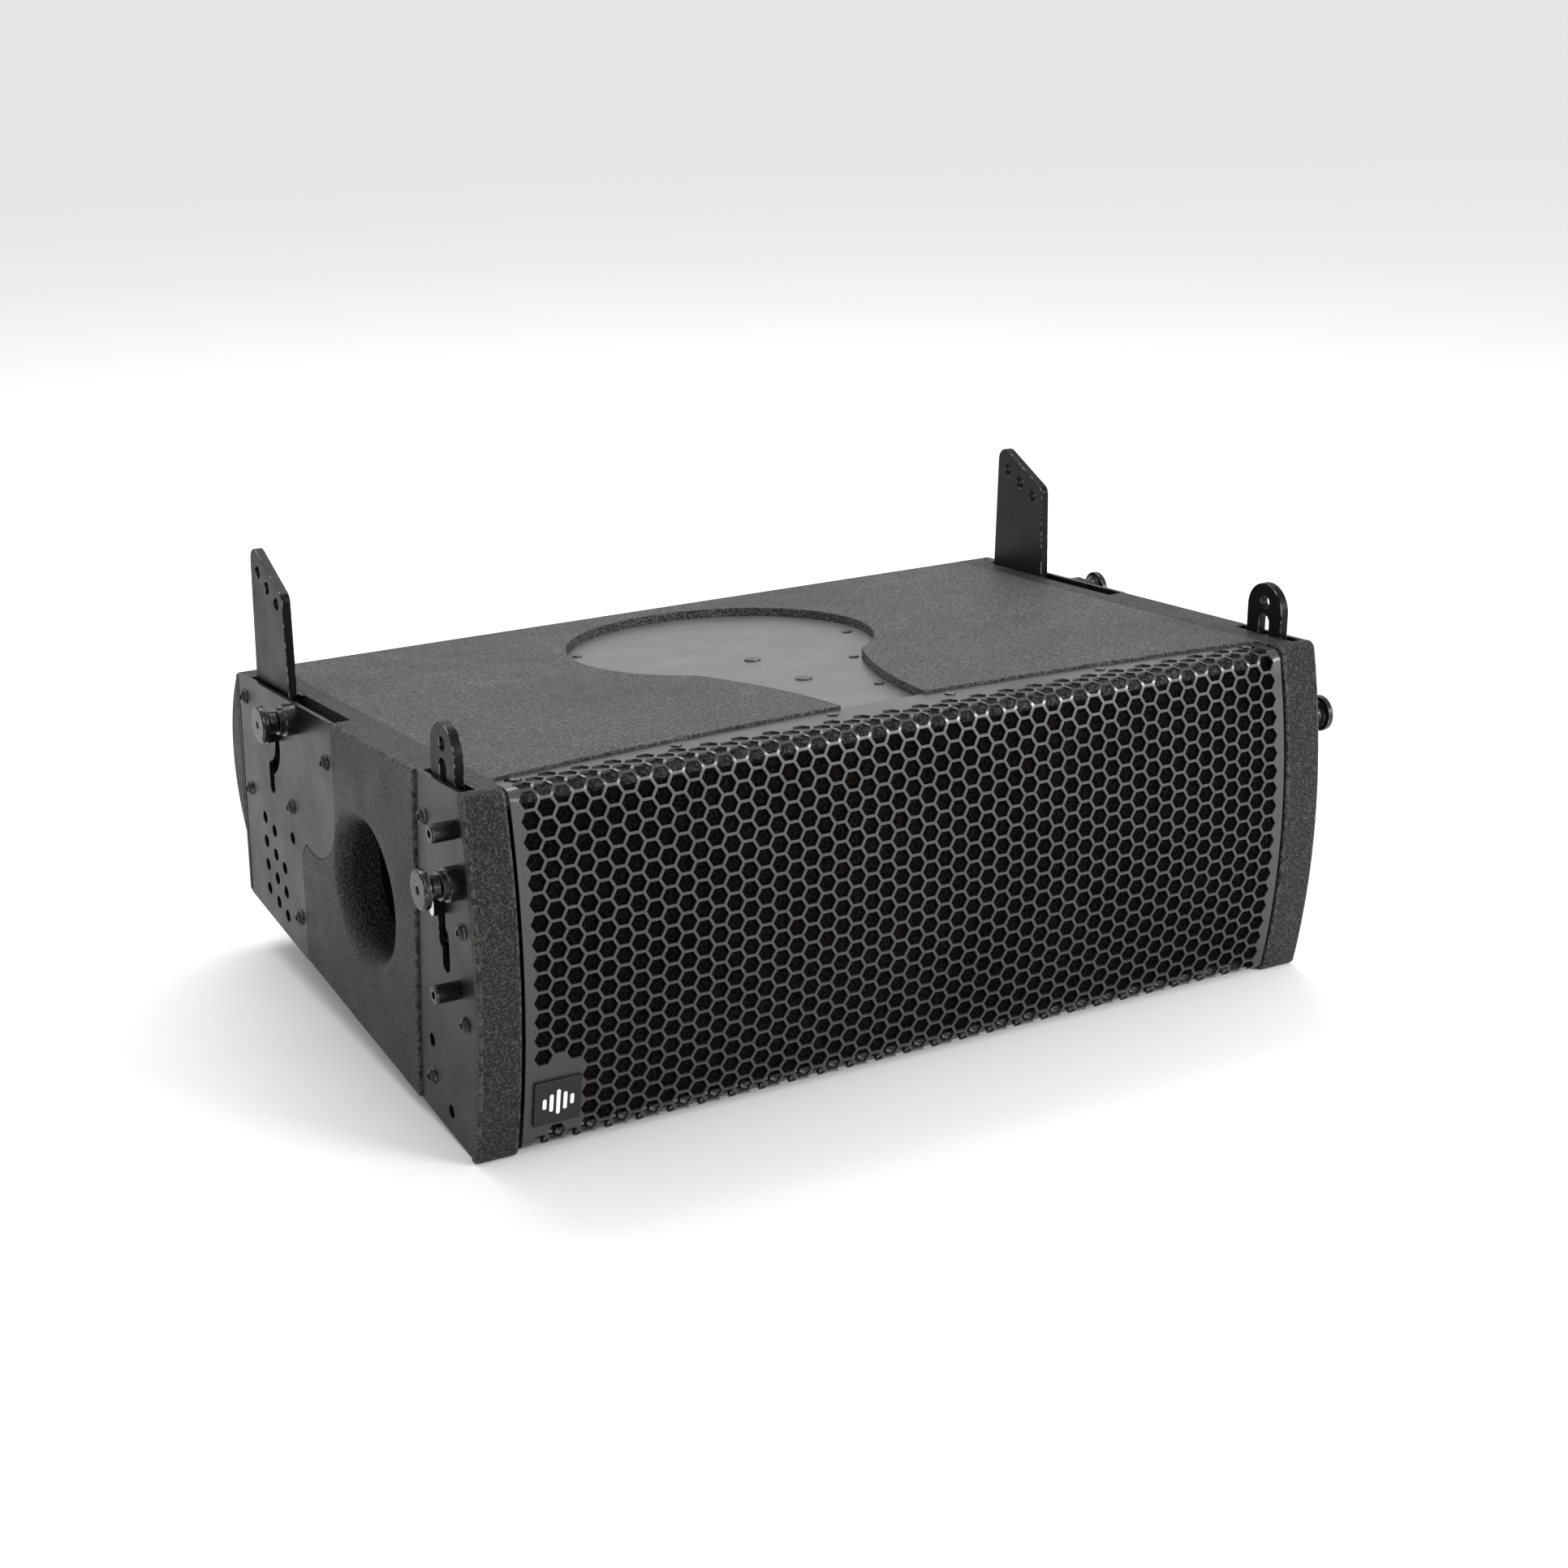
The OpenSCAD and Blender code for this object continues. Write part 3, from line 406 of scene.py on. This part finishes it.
bend_y, bend_z = corner_centre(SHEET_HALF, BOW_R, SHEET_BEND - 0.02, SHEET_Y)
BOW_END = math.atan2(bend_z, BOW_R + SHEET_Y - bend_y)
FLANGE_ANGLE = math.pi / 2 + math.radians(5.3)
BOW_S = BOW_R * BOW_END
BEND_S = BOW_S + SHEET_BEND * (FLANGE_ANGLE - BOW_END)
FLANGE_Y = bend_y - SHEET_BEND * math.cos(FLANGE_ANGLE)
FLANGE_Z = bend_z + SHEET_BEND * math.sin(FLANGE_ANGLE)


def sheet_point(x, s, depth):
    """A point of the sheet: s is the length along its outer face from the mid-plane, and depth
    is measured inwards from that face."""
    up, s = (1.0 if s >= 0 else -1.0), abs(s)
    if s <= BOW_S:
        angle = s / BOW_R
        y, z = BOW_R + SHEET_Y - (BOW_R - depth) * math.cos(angle), (BOW_R - depth) * math.sin(angle)
    elif s <= BEND_S:
        angle = BOW_END + (s - BOW_S) / SHEET_BEND
        y = bend_y - (SHEET_BEND - depth) * math.cos(angle)
        z = bend_z + (SHEET_BEND - depth) * math.sin(angle)
    else:
        y = FLANGE_Y + (s - BEND_S) * math.sin(FLANGE_ANGLE) + depth * math.cos(FLANGE_ANGLE)
        z = FLANGE_Z + (s - BEND_S) * math.cos(FLANGE_ANGLE) - depth * math.sin(FLANGE_ANGLE)
    return row(x, y, up * z)


def flange_edge(x):
    """Length along the sheet to the flange's curved rear edge."""
    sag = 60.0 - 39.0
    radius = ((SHEET_W / 2) ** 2 + sag * sag) / (2 * sag)
    y = 60.0 - radius + math.sqrt(radius * radius - x * x)
    return BEND_S + (y - FLANGE_Y) / math.sin(FLANGE_ANGLE)


def grille():
    points, faces = [], []

    def add(outline):
        faces.append(list(range(len(points), len(points) + len(outline))))
        points.extend(Vector(p) for p in outline)

    half = SHEET_W / 2
    steps = 40
    top = [(half - 2 * half * i / steps, flange_edge(half - 2 * half * i / steps)) for i in range(steps + 1)]
    bottom = [(-x, -s) for x, s in top]
    rim = [BOW_S * k / 8 for k in range(-8, 9)]
    curl = [BOW_S + (BEND_S - BOW_S) * k / 8 for k in range(1, 9)]
    rim = [-s for s in reversed(curl)] + rim + curl
    add(top + [(-half, s) for s in reversed(rim)] + bottom + [(half, s) for s in rim])
    radius = (PITCH - WEB) / math.sqrt(3)
    for i in range(-25, 26):
        x = i * COLUMN
        shift = ROW_SHIFT + (PITCH / 2 if i % 2 else 0.0)
        for k in range(-13, 13):
            s = shift + k * PITCH
            if not BOTTOM_ROWS < s < TOP_ROWS:
                continue
            if BLANK_X[0] < x < BLANK_X[1] and BLANK_S[0] < s < BLANK_S[1]:
                continue
            corners = [(x + radius * math.cos(a * math.pi / 3), s + radius * math.sin(a * math.pi / 3))
                       for a in range(6)]
            cuts = 3 if abs(s) > BOW_S - radius else 1
            add([(p[0] + (q[0] - p[0]) * c / cuts, p[1] + (q[1] - p[1]) * c / cuts)
                 for p, q in zip(corners, corners[1:] + corners[:1]) for c in range(cuts)])
    # loose points that keep the triangles short along the sides and the bends
    filler = [Vector((side * (half - 2.0), s)) for side in (-1, 1) for s in rim[1:-1]]
    filler += [Vector((x, up * (BEND_S + 0.01))) for x in range(-262, 263, 4) for up in (-1, 1)]
    verts, _, tris, _, _, owners = delaunay_2d_cdt(points + filler, [], faces, 0, 1e-4, True)
    keep = [tri for tri, owner in zip(tris, owners) if list(owner) == [0]]
    bm = bmesh.new()
    outer = [bm.verts.new(sheet_point(v.x, v.y, 0.0)) for v in verts]
    inner = [bm.verts.new(sheet_point(v.x, v.y, SHEET_T)) for v in verts]
    uses = {}
    for a, b, c in keep:
        bm.faces.new((outer[a], outer[b], outer[c]))
        bm.faces.new((inner[c], inner[b], inner[a]))
        for edge in ((a, b), (b, c), (c, a)):
            uses[edge] = uses.get(edge, 0) + 1
    for a, b in uses:
        if (b, a) not in uses:
            bm.faces.new((outer[b], outer[a], inner[a], inner[b]))
    for vert in [v for v in bm.verts if not v.link_faces]:
        bm.verts.remove(vert)
    bmesh.ops.recalc_face_normals(bm, faces=bm.faces)
    return show("perforated_grille", bm, MATERIALS["grille_steel"], "cabinet",
                ("front_grille",))


grille()


# ---- Badge mark: plain upright bars ---------------------------------------------------------
def badge_bars():
    low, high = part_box("grille_badge")
    centre = (low + high) / 2
    tilt = math.asin(80.0 / BOW_R)
    along = Vector((0.0, -math.sin(tilt), math.cos(tilt)))
    out = Vector((0.0, -math.cos(tilt), -math.sin(tilt)))
    bm = bmesh.new()
    for k, height in enumerate((7.0, 12.0, 17.0, 12.0, 7.0)):
        middle = centre + Vector(((k - 2) * 4.4 * MM, 0, 0)) + out * 1.0 * MM
        ring = []
        for j in range(24):
            angle = 2 * math.pi * j / 24
            lift = (height / 2 - 1.2) * (1 if j < 12 else -1)
            ring.append((1.2 * math.cos(angle), lift + 1.2 * math.sin(angle)))
        base = [bm.verts.new(middle + Vector((x * MM, 0, 0)) + along * z * MM) for x, z in ring]
        face = [bm.verts.new(v.co + out * 0.35 * MM) for v in base]
        bm.faces.new(face)
        for j in range(24):
            bm.faces.new((base[j], base[(j + 1) % 24], face[(j + 1) % 24], face[j]))
    bmesh.ops.recalc_face_normals(bm, faces=bm.faces)
    return show("badge_bars", bm, MATERIALS["badge_white"], "cabinet")


badge_bars()

# ---- Studio ---------------------------------------------------------------------------------
stage_look = Finish("pale_floor", 0.9, 0.0, 0.0)
stage_look.to("Base Color", stage_look.mix(
    stage_look.noise(0.6, 2.0), (0.86, 0.86, 0.86), (0.88, 0.88, 0.88)))
floor_mesh = bpy.data.meshes.new("floor")
floor_mesh.from_pydata([(-20, -20, 0), (20, -20, 0), (20, 20, 0), (-20, 20, 0)], [], [(0, 1, 2, 3)])
floor_mesh.materials.append(stage_look.material)
floor = bpy.data.objects.new("floor", floor_mesh)
bpy.context.scene.collection.objects.link(floor)

world = bpy.data.worlds.new("studio")
world.use_nodes = True
world.node_tree.nodes["Background"].inputs["Color"].default_value = (1.0, 1.0, 1.0, 1.0)
world.node_tree.nodes["Background"].inputs["Strength"].default_value = 0.9
bpy.context.scene.world = world
bpy.context.scene.view_settings.view_transform = "Standard"


def area(name, at, target, width, height, power):
    lamp = bpy.data.lights.new(name, "AREA")
    lamp.shape = "RECTANGLE"
    lamp.size, lamp.size_y, lamp.energy = width, height, power
    holder = bpy.data.objects.new(name, lamp)
    holder.location = at
    holder.rotation_euler = (Vector(target) - Vector(at)).to_track_quat("-Z", "Y").to_euler()
    bpy.context.scene.collection.objects.link(holder)


area("key", (1.15, -1.9, 0.85), (0.1, -0.1, 0.15), 0.9, 0.5, 42.0)
area("top", (0.1, 0.9, 1.7), (0.0, 0.0, 0.1), 1.8, 0.9, 26.0)

camera_data = bpy.data.cameras.new("camera")
camera_data.lens = 63.77
camera_data.sensor_width = 36.0
camera_data.clip_end = 100.0
camera = bpy.data.objects.new("camera", camera_data)
camera.location = (-0.845, -1.537, (643.8 + MID_Z) * MM)
camera.rotation_euler = Vector((0.4585, 0.8205, -0.3415)).to_track_quat("-Z", "Y").to_euler()
bpy.context.scene.collection.objects.link(camera)
bpy.context.scene.camera = camera
